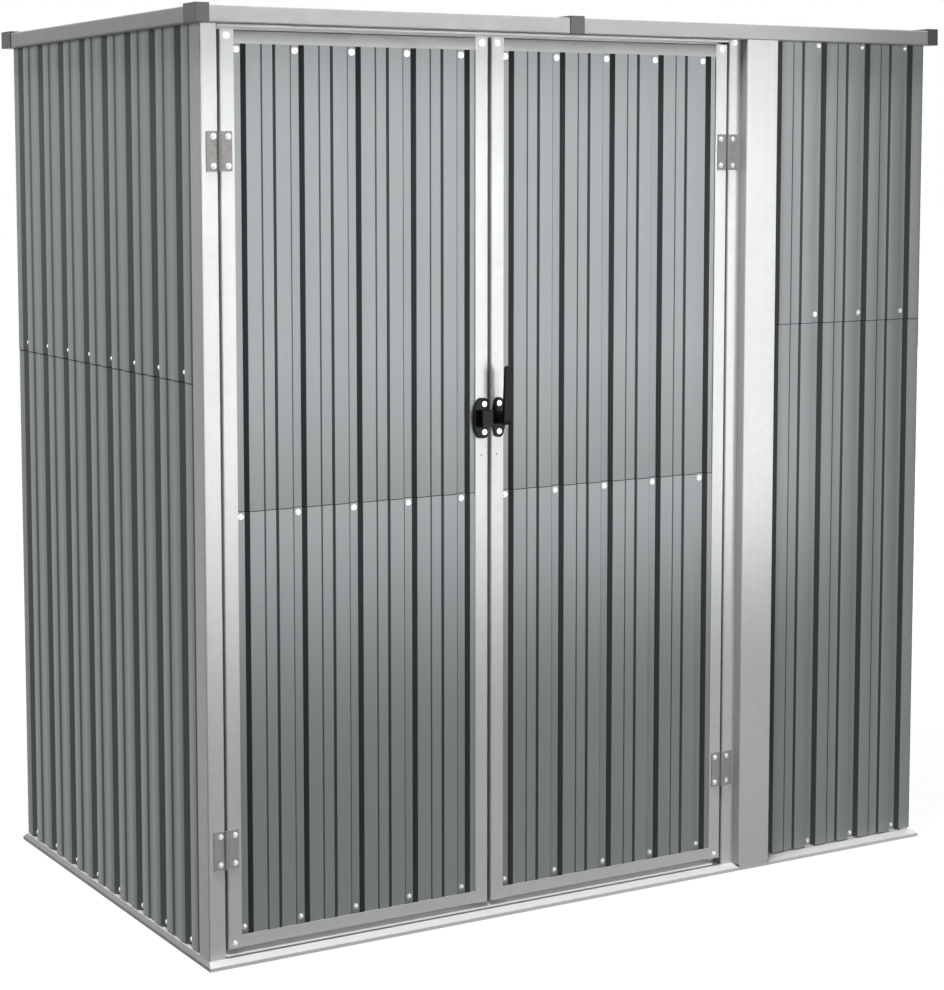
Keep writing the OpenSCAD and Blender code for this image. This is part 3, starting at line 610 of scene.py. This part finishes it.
def screw_tree():
    """Sets a screw, a round head on a washer in one closed shell, on every point along its facing."""
    tree = bpy.data.node_groups.new("Screw heads", "GeometryNodeTree")
    for name, kind in (
        ("Points", "NodeSocketGeometry"), ("Washer Radius", "NodeSocketFloat"),
        ("Washer Height", "NodeSocketFloat"), ("Head Radius", "NodeSocketFloat"),
        ("Head Height", "NodeSocketFloat"), ("Sides", "NodeSocketInt"),
        ("Material", "NodeSocketMaterial"),
    ):
        tree.interface.new_socket(name=name, in_out="INPUT", socket_type=kind)
    tree.interface.new_socket(name="Screws", in_out="OUTPUT", socket_type="NodeSocketGeometry")
    given, made = tree.nodes.new("NodeGroupInput"), tree.nodes.new("NodeGroupOutput")
    join = tree.nodes.new("GeometryNodeJoinGeometry")

    def add(mesh, height):
        lift = tree.nodes.new("GeometryNodeTransform")
        up = tree.nodes.new("ShaderNodeCombineXYZ")
        tree.links.new(height, up.inputs["Z"])
        tree.links.new(mesh, lift.inputs["Geometry"])
        tree.links.new(up.outputs["Vector"], lift.inputs["Translation"])
        tree.links.new(lift.outputs["Geometry"], join.inputs["Geometry"])

    def ring(low_radius, high_radius, low, high):
        cone = tree.nodes.new("GeometryNodeMeshCone")
        cone.fill_type = "NONE"
        tree.links.new(given.outputs["Sides"], cone.inputs["Vertices"])
        tree.links.new(low_radius, cone.inputs["Radius Bottom"])
        tree.links.new(high_radius, cone.inputs["Radius Top"])
        tree.links.new(math_node(tree, "SUBTRACT", high, low), cone.inputs["Depth"])
        add(cone.outputs["Mesh"], low)

    def disc(radius):
        circle = tree.nodes.new("GeometryNodeMeshCircle")
        circle.fill_type = "NGON"
        tree.links.new(given.outputs["Sides"], circle.inputs["Vertices"])
        tree.links.new(radius, circle.inputs["Radius"])
        return circle.outputs["Mesh"]

    washer, head = given.outputs["Washer Radius"], given.outputs["Head Radius"]
    top = given.outputs["Washer Height"]
    seat = math_node(tree, "MULTIPLY", top, 0)
    rim = math_node(tree, "MULTIPLY", washer, RIM_SHARE)
    under = tree.nodes.new("GeometryNodeFlipFaces")
    tree.links.new(disc(washer), under.inputs["Mesh"])
    add(under.outputs["Mesh"], seat)
    ring(washer, rim, seat, top)
    ring(rim, head, top, top)
    low_radius, low = head, top
    for turn in map(math.radians, DOME_ANGLES):
        high_radius = math_node(tree, "MULTIPLY", head, math.cos(turn))
        rise = math_node(tree, "MULTIPLY", given.outputs["Head Height"], math.sin(turn))
        high = math_node(tree, "ADD", top, rise)
        ring(low_radius, high_radius, low, high)
        low_radius, low = high_radius, high
    add(disc(low_radius), low)
    merge = tree.nodes.new("GeometryNodeMergeByDistance")
    merge.inputs["Distance"].default_value = SAME_POINT
    facing = tree.nodes.new("GeometryNodeInputNamedAttribute")
    facing.data_type = "FLOAT_VECTOR"
    facing.inputs["Name"].default_value = "facing"
    align = tree.nodes.new("FunctionNodeAlignRotationToVector")
    align.axis = "Z"
    place = tree.nodes.new("GeometryNodeInstanceOnPoints")
    real = tree.nodes.new("GeometryNodeRealizeInstances")
    paint = tree.nodes.new("GeometryNodeSetMaterial")
    tree.links.new(join.outputs["Geometry"], merge.inputs["Geometry"])
    tree.links.new(facing.outputs["Attribute"], align.inputs["Vector"])
    tree.links.new(given.outputs["Points"], place.inputs["Points"])
    tree.links.new(merge.outputs["Geometry"], place.inputs["Instance"])
    tree.links.new(align.outputs["Rotation"], place.inputs["Rotation"])
    tree.links.new(place.outputs["Instances"], real.inputs["Geometry"])
    tree.links.new(real.outputs["Geometry"], paint.inputs["Geometry"])
    tree.links.new(given.outputs["Material"], paint.inputs["Material"])
    tree.links.new(paint.outputs["Geometry"], made.inputs["Screws"])
    return tree


def set_screws(name, body, places, sizes, material):
    """Turns (place, facing) pairs into one mesh of screws that rides on a body."""
    points = bpy.data.meshes.new(name)
    points.from_pydata([p for p, _ in places], [], [])
    facing = points.attributes.new("facing", "FLOAT_VECTOR", "POINT")
    for i, (_, way) in enumerate(places):
        facing.data[i].vector = way
    carrier = new_object(name + "_points", points)
    tree = bpy.data.node_groups.get("Screw heads") or screw_tree()
    modifier = carrier.modifiers.new("Screws", "NODES")
    modifier.node_group = tree
    values = {**sizes, "Material": material}
    for item in tree.interface.items_tree:
        if item.in_out == "INPUT" and item.name in values:
            modifier[item.identifier] = values[item.name]
    carrier.update_tag()
    graph = bpy.context.evaluated_depsgraph_get()
    mesh = bpy.data.meshes.new_from_object(carrier.evaluated_get(graph))
    bpy.data.objects.remove(carrier)
    bpy.data.meshes.remove(points)
    mesh.name = name
    screws = new_object(name, mesh)
    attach(screws, body)


def screw_sizes():
    p = looks().screws
    return {
        "Washer Radius": p.washer_radius,
        "Washer Height": p.washer_height,
        "Head Radius": p.head_radius,
        "Head Height": p.head_height,
        "Sides": p.sides,
    }


# Measures of the CAD pieces that carry the screws
VALLEY_BAND = 1.2 * MM
VALLEY_LEAST = 1 * MM
VALLEY_MOST = 30 * MM
SAME_LEVEL = 0.1 * MM
PURLIN_MIDDLE = 15 * MM
STILE_MIDDLE = 14.5 * MM
PLATE_THICKNESS = 5 * MM
LEAF_THICKNESS = 2 * MM
JAMB_MIDDLE = 19 * MM
JAMB_DROP = 6 * MM


def valleys(name, along, facing):
    """The middles of a sheet's valley floors along an axis, and a point on their outer face."""
    points = [v.co for v in NODES[name].data.vertices]
    deepest = max(-facing.dot(p) for p in points)
    floor = min(d for d in (-facing.dot(p) for p in points) if d > deepest - VALLEY_BAND)
    marks = sorted(p[along] for p in points if abs(-facing.dot(p) - floor) < SAME_LEVEL)
    runs = [[marks[0]]]
    for mark in marks[1:]:
        if mark - runs[-1][-1] > VALLEY_MOST:
            runs.append([])
        runs[-1].append(mark)
    return [(run[0] + run[-1]) / 2 for run in runs], -floor * facing


def valley_row(name, along, facing, height):
    """Screw places in every valley of an upright sheet at one height."""
    middles, face = valleys(name, along, facing)
    places = []
    for middle in middles:
        place = face.copy()
        place[along] = middle
        place.z = height
        places.append((place, facing))
    return places


def wall_rows(wall, along, facing):
    """A wall's rows of screws. The fascia covers the top row of the side walls, so it is left out."""
    p = looks().screws
    lower, upper = f"{wall}_lower_sheet", f"{wall}_upper_sheet"
    low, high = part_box(upper)
    rows = valley_row(lower, along, facing, p.wall_bottom)
    rows += valley_row(upper, along, facing, low.z + p.seam_rise)
    if along == X:
        rows += valley_row(upper, along, facing, high.z - p.wall_top)
    return rows


def door_rows(door):
    p = looks().screws
    lower, upper = f"{door}_lower_sheet", f"{door}_upper_sheet"
    return (
        valley_row(lower, X, FRONT, p.door_bottom)
        + valley_row(lower, X, FRONT, p.door_seam)
        + valley_row(upper, X, FRONT, p.door_top)
    )


def roof_rows(name):
    """Screw places in the roof sheet's valleys over the three purlins."""
    points = [v.co for v in NODES[name].data.vertices]
    ends = [min(p.y for p in points), max(p.y for p in points)]
    purlin_low, purlin_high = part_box("roof_purlins")
    first, last = purlin_low.y + PURLIN_MIDDLE, purlin_high.y - PURLIN_MIDDLE
    rows = (first, (purlin_low.y + purlin_high.y) / 2, last)
    floors = []
    for end in ends:
        at_end = [p for p in points if abs(p.y - end) < VALLEY_MOST]
        lowest = min(p.z for p in at_end)
        top = max(p.z for p in at_end if p.z < lowest + VALLEY_BAND)
        floors.append((top, [p for p in at_end if abs(p.z - top) < SAME_LEVEL]))
    (front_z, front), (back_z, _) = floors
    slope = (back_z - front_z) / (ends[1] - ends[0])
    marks = sorted(p.x for p in front)
    middles = [(a + b) / 2 for a, b in zip(marks, marks[1:]) if VALLEY_LEAST < b - a < VALLEY_MOST]
    up = Vector((0, -slope, 1)).normalized()
    return [(Vector((x, y, front_z + slope * (y - ends[0]))), up) for y in rows for x in middles]


# Operators, one for each group of like pieces and one for the studio

CLASSES = [ShedFinishes, ShedScrews, ShedStudio, ShedLooks]


def listed(cls):
    """Adds a class to those that are registered."""
    CLASSES.append(cls)
    return cls


@listed
class SHED_OT_sheets(bpy.types.Operator):
    """Paints the corrugated sheets"""

    bl_idname = "shed.sheets"
    bl_label = "Sheets"

    def execute(self, context):
        door_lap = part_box("left_door_lower_sheet")[1].z
        side_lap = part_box("left_wall_upper_sheet")[0].z
        panel_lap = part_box("front_panel_upper_sheet")[0].z
        # Columns: pieces, material name, axis along the sheet, painted shade on the folds' slopes, lap
        # height, width of the painted shadow line at the lap (below 0: under the edge), painted shade
        # above the lap
        for names, name, along, painted_fold_shade, lap, width, shade in (
            (DOOR_SHEETS, "Door sheet", RIGHT, 0.82, door_lap, LAP_WIDTH, 0.22),
            (SIDE_SHEETS, "Side sheet", BACK, 0.68, side_lap, -SIDE_LAP_WIDTH, 0),
            (BACK_SHEETS, "Back sheet", RIGHT, 0.5, side_lap, -LAP_WIDTH, 0),
            (PANEL_SHEETS, "Panel sheet", RIGHT, 0.86, panel_lap, -LAP_WIDTH, 0),
            (ROOF_SHEETS, "Roof sheet", RIGHT, 0.5, NO_LAP, LAP_WIDTH, 0),
        ):
            dress(names, painted_sheet(name, along, painted_fold_shade, lap, width, shade))
        round_folds(SIDE_SHEETS + PANEL_SHEETS)
        return {"FINISHED"}


@listed
class SHED_OT_frame_metal(bpy.types.Operator):
    """Gives posts, rails, doors and fascia their pale metal"""

    bl_idname = "shed.frame_metal"
    bl_label = "Frame metal"

    def execute(self, context):
        p = looks().finishes
        # Columns: pieces, material name, colour, grain's stretch, painted shade on the flanks, painted
        # shade under the roof's edge, and that shade's reach down from the door rails' top
        for names, name, base, stretch, painted_flank_shade, painted_eaves_shade, reach in (
            (UPRIGHTS, "Upright metal", p.frame, UPRIGHT_STRETCH, 0.35, 0.2, EAVES_REACH),
            (LEVELS, "Level metal", p.frame, LEVEL_STRETCH, 0.6, 0.2, EAVES_REACH),
            (DOOR_RAILS, "Door rail metal", p.frame, LEVEL_STRETCH, 0.35, 0.85, DOOR_RAIL_REACH),
            (BASE, "Base metal", p.base, LEVEL_STRETCH, 0.82, 0, EAVES_REACH),
            (FASCIAS, "Fascia metal", p.fascia, LEVEL_STRETCH, 0.3, 0, EAVES_REACH),
        ):
            dress(names, pale_metal(name, base, stretch, painted_flank_shade, painted_eaves_shade, reach))
        return {"FINISHED"}


@listed
class SHED_OT_fittings(bpy.types.Operator):
    """Gives the roof caps, hinges and latch their plastics and plating"""

    bl_idname = "shed.fittings"
    bl_label = "Caps, hinges and latch"

    def execute(self, context):
        p = looks().finishes
        dress(CAPS, plastic(
            "Cap plastic", p.cap, roughness=0.5, grain_scale=700, sheen=0.4, dusty=0.05))
        dress(HINGES, plated("Hinge plating", p.hinge, roughness=0.5, metallic=0.35))
        dress(LATCH, plastic(
            "Latch plastic", p.latch, roughness=0.42, grain_scale=900, sheen=0.08, dusty=0.004))
        soften(CAPS, width=1.2 * MM)
        soften(LATCH, width=1 * MM)
        return {"FINISHED"}


@listed
class SHED_OT_sheet_screws(bpy.types.Operator):
    """Screws the sheets down in their valleys"""

    bl_idname = "shed.sheet_screws"
    bl_label = "Sheet screws"

    def execute(self, context):
        p = looks().screws
        zinc = plated("Screw zinc", looks().finishes.screw, roughness=0.34, metallic=0.7)
        fixed = (
            wall_rows("back_wall", X, BACK) + wall_rows("front_panel", X, FRONT)
            + roof_rows("roof_left_sheet") + roof_rows("roof_right_sheet")
        )
        set_screws("wall_screws", "shed", fixed, screw_sizes(), zinc)
        sides = [
            (place + BACK * p.side_shift, facing)
            for place, facing in wall_rows("left_wall", Y, LEFT) + wall_rows("right_wall", Y, RIGHT)
        ]
        heads = {**screw_sizes(), "Head Radius": p.washer_radius, "Head Height": p.side_head}
        set_screws("side_wall_screws", "shed", sides, heads, zinc)
        for door in DOORS:
            set_screws(f"{door}_sheet_screws", door, door_rows(door), screw_sizes(), zinc)
        return {"FINISHED"}


@listed
class SHED_OT_frame_screws(bpy.types.Operator):
    """Adds the screws of the door corners, hinges, latch plates and jamb, and the stiles' rivets"""

    bl_idname = "shed.frame_screws"
    bl_label = "Frame screws"

    def execute(self, context):
        zinc, pale = bpy.data.materials["Screw zinc"], bpy.data.materials["Upright metal"]
        p, heads = looks().screws, screw_sizes()
        rivets = {
            **heads, "Washer Radius": p.rivet_radius, "Head Radius": p.rivet_radius * RIVET_SHARE,
            "Head Height": p.rivet_head,
        }
        (left, right), face = self.pins()
        leaves = {
            "left_door": self.leaf_places(left, p.door_reach, face),
            "right_door": self.leaf_places(right, -p.door_reach, face),
            "frame": (
                self.leaf_places(left, -p.frame_reach, face)
                + self.leaf_places(right, p.frame_reach, face)
            ),
        }
        for door in DOORS:
            set_screws(f"{door}_frame_screws", door, self.door_places(door), heads, zinc)
            set_screws(f"{door}_hinge_screws", door, leaves[door], heads, zinc)
            set_screws(f"{door}_rivet", door, self.rivet_places(door), rivets, pale)
        set_screws("frame_hinge_screws", "shed", leaves["frame"], heads, zinc)
        set_screws("hinge_post_screw", "shed", self.jamb_places(), heads, zinc)
        return {"FINISHED"}

    @staticmethod
    def hinge_heights():
        points = [v.co.z for v in NODES["left_door_hinge_leaves"].data.vertices]
        middle = (min(points) + max(points)) / 2
        low, high = [z for z in points if z < middle], [z for z in points if z > middle]
        return [(min(zs) + max(zs)) / 2 for zs in (low, high)]

    def leaf_places(self, pin, reach, face):
        """Screw places on the upper and lower leaf beside a pin."""
        spread = looks().screws.hinge_spread
        return [
            (Vector((pin + reach, face, z + way * spread)), FRONT)
            for z in self.hinge_heights() for way in (-1, 1)
        ]

    @staticmethod
    def pins():
        """Places of the two hinge pins from left to right, and of the leaves' front faces."""
        points = [v.co for v in NODES["frame_hinge_leaves"].data.vertices]
        split = (min(p.x for p in points) + max(p.x for p in points)) / 2
        left, right = [p for p in points if p.x < split], [p for p in points if p.x > split]
        knuckle = min(p.y for p in points)
        pins = []
        for side in (left, right):
            tips = [q.x for q in side if q.y < knuckle + SAME_LEVEL]
            pins.append(sum(tips) / len(tips))
        return pins, max(p.y for p in points) - LEAF_THICKNESS

    @staticmethod
    def jamb_places():
        """The screw at the top of the strip beside the right door."""
        door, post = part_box("right_door_stiles"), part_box("hinge_post")
        return [(Vector((door[1].x + JAMB_MIDDLE, door[0].y, post[1].z - JAMB_DROP)), FRONT)]

    @staticmethod
    def stiles(door):
        """Middles of a door's outer and meeting stiles, and the stiles' box."""
        low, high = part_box(f"{door}_stiles")
        ends = (low.x + STILE_MIDDLE, high.x - STILE_MIDDLE)
        outer, meeting = ends if door == "left_door" else reversed(ends)
        return outer, meeting, low, high

    def rivet_places(self, door):
        _, meeting, low, _ = self.stiles(door)
        return [(Vector((meeting, low.y, looks().screws.rivet_height)), FRONT)]

    def door_places(self, door):
        """Screw places in a door's corners and on its latch plate."""
        p = looks().screws
        is_left = door == "left_door"
        outer, meeting, low, high = self.stiles(door)
        top, bottom = high.z - p.corner_inset, low.z + p.corner_inset
        corners = [(outer, top), (meeting, top), (outer, bottom)]
        places = [(Vector((x, low.y, z)), FRONT) for x, z in corners]
        plate_low, plate_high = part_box("latch_keeper" if is_left else "latch_plate")
        column = plate_high.x - p.latch_reach if is_left else (plate_low.x + plate_high.x) / 2
        middle = (plate_low.z + plate_high.z) / 2
        face = low.y - PLATE_THICKNESS
        for way in (-1, 1):
            places.append((Vector((column, face, middle + way * p.latch_spread)), FRONT))
        return places


# Studio: the floor's tone, size and glow by distance from the shed, the key lamp,
# and the points that lamps are aimed at
WHITE = (1, 1, 1, 1)
FLOOR_TONE = (0.12, 0.12, 0.12, 1)
FLOOR_HALF = 40.0
FLOOR_CELLS = 8
FLOOR_GLOW = {"From_Min": 1.2, "From_Max": 3.2, "To_Min": 0.94, "To_Max": 1.0}
KEY_SIZE = (1.58, 1.28)
KEY_SPREAD = math.radians(24)
KEY_TARGET = (-0.3, -0.48, 1.31)
SHED_MIDDLE = (0, 0, 0.9)
LEDGE = (-0.6, -0.5, 1.0)
SENSOR_WIDTH = 36


@listed
class SHED_OT_studio(bpy.types.Operator):
    """Sets up the floor, world, lamps and camera"""

    bl_idname = "shed.studio"
    bl_label = "Studio"

    def execute(self, context):
        self.floor()
        self.world()
        self.lamps()
        self.camera()
        context.scene.view_settings.view_transform = "Standard"
        return {"FINISHED"}

    @staticmethod
    def seen(tree):
        """1 for rays that show the background: from the camera, and through gloss and glass."""
        path = tree.nodes.new("ShaderNodeLightPath")
        both = math_node(tree, "MAXIMUM", path.outputs["Is Camera Ray"], path.outputs["Is Glossy Ray"])
        return math_node(tree, "MAXIMUM", both, path.outputs["Is Transmission Ray"])

    @staticmethod
    def indoors(tree, place):
        """1 within the base frame, where the ground lies in the shade."""
        left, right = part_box("base_left_rail")[0].x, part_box("base_right_rail")[1].x
        front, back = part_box("base_front_rail")[0].y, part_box("base_back_rail")[1].y
        split = tree.nodes.new("ShaderNodeSeparateXYZ")
        tree.links.new(place, split.inputs["Vector"])
        inside = 1
        for axis, low, high in (("X", left, right), ("Y", front, back)):
            over = math_node(tree, "GREATER_THAN", split.outputs[axis], low)
            under = math_node(tree, "LESS_THAN", split.outputs[axis], high)
            inside = math_node(tree, "MULTIPLY", math_node(tree, "MULTIPLY", over, under), inside)
        return inside

    def floor(self):
        """A white ground that keeps the shed's shadow and grows to full white away from it."""
        mesh = bpy.data.meshes.new("studio_floor")
        builder = bmesh.new()
        bmesh.ops.create_grid(builder, x_segments=FLOOR_CELLS, y_segments=FLOOR_CELLS, size=FLOOR_HALF)
        builder.to_mesh(mesh)
        builder.free()
        floor = new_object("studio_floor", mesh)
        material = bpy.data.materials.new("Studio floor")
        material.use_nodes = True
        tree = material.node_tree
        shader = tree.nodes["Principled BSDF"]
        shader.inputs["Base Color"].default_value = FLOOR_TONE
        shader.inputs["Roughness"].default_value = 1
        shader.inputs["Specular IOR Level"].default_value = 0
        shader.inputs["Emission Color"].default_value = WHITE
        place = own_place(tree)
        away = tree.nodes.new("ShaderNodeVectorMath")
        away.operation = "LENGTH"
        tree.links.new(place, away.inputs[0])
        outside = math_node(tree, "SUBTRACT", 1, self.indoors(tree, place))
        spread = map_node(tree, away.outputs["Value"], **FLOOR_GLOW)
        glow = math_node(tree, "MULTIPLY", spread, outside)
        shown = math_node(tree, "MULTIPLY", glow, self.seen(tree))
        tree.links.new(shown, shader.inputs["Emission Strength"])
        mesh.materials.append(material)

    def world(self):
        """White to the camera and in reflections, and dim as a source of light."""
        world = bpy.data.worlds.new("Studio world")
        bpy.context.scene.world = world
        world.use_nodes = True
        tree = world.node_tree
        tree.nodes.clear()
        dim, white = (tree.nodes.new("ShaderNodeBackground") for _ in range(2))
        dim.inputs["Strength"].default_value = looks().studio.ambient
        dim.inputs["Color"].default_value = WHITE
        white.inputs["Color"].default_value = WHITE
        mix = tree.nodes.new("ShaderNodeMixShader")
        out = tree.nodes.new("ShaderNodeOutputWorld")
        tree.links.new(self.seen(tree), mix.inputs["Fac"])
        tree.links.new(dim.outputs["Background"], mix.inputs[1])
        tree.links.new(white.outputs["Background"], mix.inputs[2])
        tree.links.new(mix.outputs["Shader"], out.inputs["Surface"])

    @staticmethod
    def aim(data, target, azimuth, elevation, distance):
        """Places a lamp round a target: azimuth 0 is in front of the shed and 90 on its right."""
        turn, tilt = math.radians(azimuth), math.radians(elevation)
        flat = math.cos(tilt)
        way = Vector((math.sin(turn) * flat, -math.cos(turn) * flat, math.sin(tilt)))
        lamp = new_object(data.name, data)
        lamp.location = Vector(target) + way * distance
        lamp.rotation_euler = (-way).to_track_quat("-Z", "Y").to_euler()
        return lamp

    @staticmethod
    def keep_off(lamp, pieces):
        """Flags a lamp's light off some pieces, so that they don't glare."""
        flagged = bpy.data.collections.new(lamp.name + "_flag")
        for piece in pieces:
            flagged.objects.link(piece)
        for entry in flagged.collection_objects:
            entry.light_linking.link_state = "EXCLUDE"
        lamp.light_linking.receiver_collection = flagged

    def lamps(self):
        """A level key lamp with a narrow beam, and wide lamps in front, behind and above."""
        p = looks().studio
        key = bpy.data.lights.new("key_strip", "AREA")
        key.shape = "RECTANGLE"
        key.size, key.size_y = KEY_SIZE
        key.energy, key.spread = p.key_power, KEY_SPREAD
        strip = self.aim(key, target=KEY_TARGET, azimuth=29, elevation=0, distance=1.7)
        strip.visible_camera = False
        self.keep_off(
            strip, [NODES[n] for n in HINGES] + [bpy.data.objects[n] for n in HINGE_SCREWS])
        for name, energy, size, target, azimuth, elevation, distance in (
            ("front_fill", p.fill_power, 2.5, SHED_MIDDLE, 15, 8, 6),
            ("rear_left", p.rear_power, 3.0, SHED_MIDDLE, -118, 14, 7),
            ("rear_right", p.right_power, 3.0, SHED_MIDDLE, 124, 14, 7),
            ("over_ledge", p.top_power, 1.6, LEDGE, -50, 80, 4),
        ):
            data = bpy.data.lights.new(name, "AREA")
            data.energy, data.size = energy, size
            self.aim(data, target, azimuth, elevation, distance)

    @staticmethod
    def camera():
        p = looks().studio
        data = bpy.data.cameras.new("photo_view")
        data.sensor_width = SENSOR_WIDTH
        data.lens, data.shift_y = p.camera_lens, p.camera_shift
        camera = new_object("photo_view", data)
        camera.location = p.camera_place
        camera.rotation_euler = Euler((math.pi / 2 - p.camera_pitch, 0, p.camera_yaw))
        bpy.context.scene.camera = camera


@listed
class SHED_PT_panel(bpy.types.Panel):
    """Lists the shed's operators and values"""

    bl_idname = "SHED_PT_panel"
    bl_label = "Shed"
    bl_space_type = "VIEW_3D"
    bl_region_type = "UI"
    bl_category = "Shed"

    def draw(self, context):
        for step in STEPS:
            self.layout.operator(step)
        for values in (looks().finishes, looks().screws, looks().studio):
            box = self.layout.box()
            for name in values.__annotations__:
                box.prop(values, name)


STEPS = [
    "shed.sheets", "shed.frame_metal", "shed.fittings", "shed.sheet_screws", "shed.frame_screws",
    "shed.studio",
]


def register():
    for cls in CLASSES:
        bpy.utils.register_class(cls)
    bpy.types.Scene.shed_looks = PointerProperty(type=ShedLooks)


def unregister():
    del bpy.types.Scene.shed_looks
    for cls in reversed(CLASSES):
        bpy.utils.unregister_class(cls)


def main():
    register()
    bpy.ops.shed.sheets()
    bpy.ops.shed.frame_metal()
    bpy.ops.shed.fittings()
    bpy.ops.shed.sheet_screws()
    bpy.ops.shed.frame_screws()
    bpy.ops.shed.studio()


if __name__ == "__main__":
    main()
